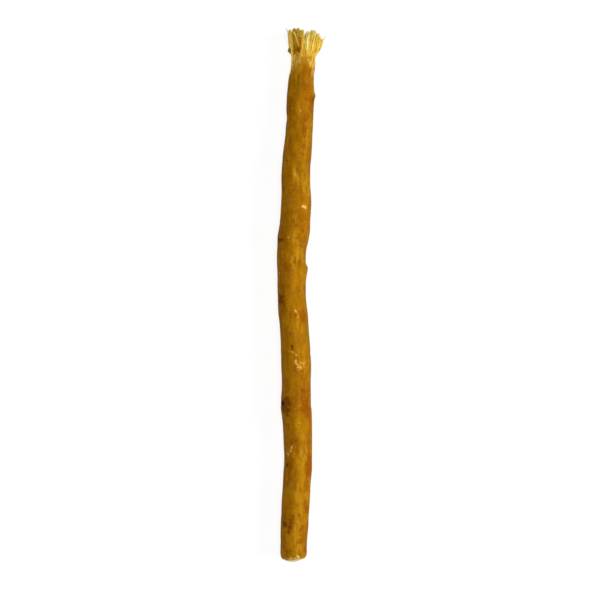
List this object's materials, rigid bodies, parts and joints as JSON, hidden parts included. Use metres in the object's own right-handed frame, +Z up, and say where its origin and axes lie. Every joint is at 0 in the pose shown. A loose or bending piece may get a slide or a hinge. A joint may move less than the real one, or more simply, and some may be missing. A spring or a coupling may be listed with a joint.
{
  "type": "miswak stick",
  "caption": "Slender, gently wavy chewing stick with its bark on, cut plainly at one end and frayed into a two-tuft brush of wood bristles at the other, lying on its side.",
  "frame": {"origin": "on the table under the middle of the stick's bounding box", "axes": "+Y along the stick from its plain cut end to the bristles, +Z up with the stick lying on its side, +X to the right when seen from above with the bristles away from the viewer"},
  "size_m": [0.0138, 0.15, 0.0095],
  "materials": {
    "bark": "thin ochre bark, dried and faintly wrinkled, dull with a slight waxy sheen",
    "wood": "bare pale straw-coloured wood and its frayed fibres, matt"
  },
  "bodies": {
    "root": {"miswak_stick": "bark"}
  },
  "joints": []
}
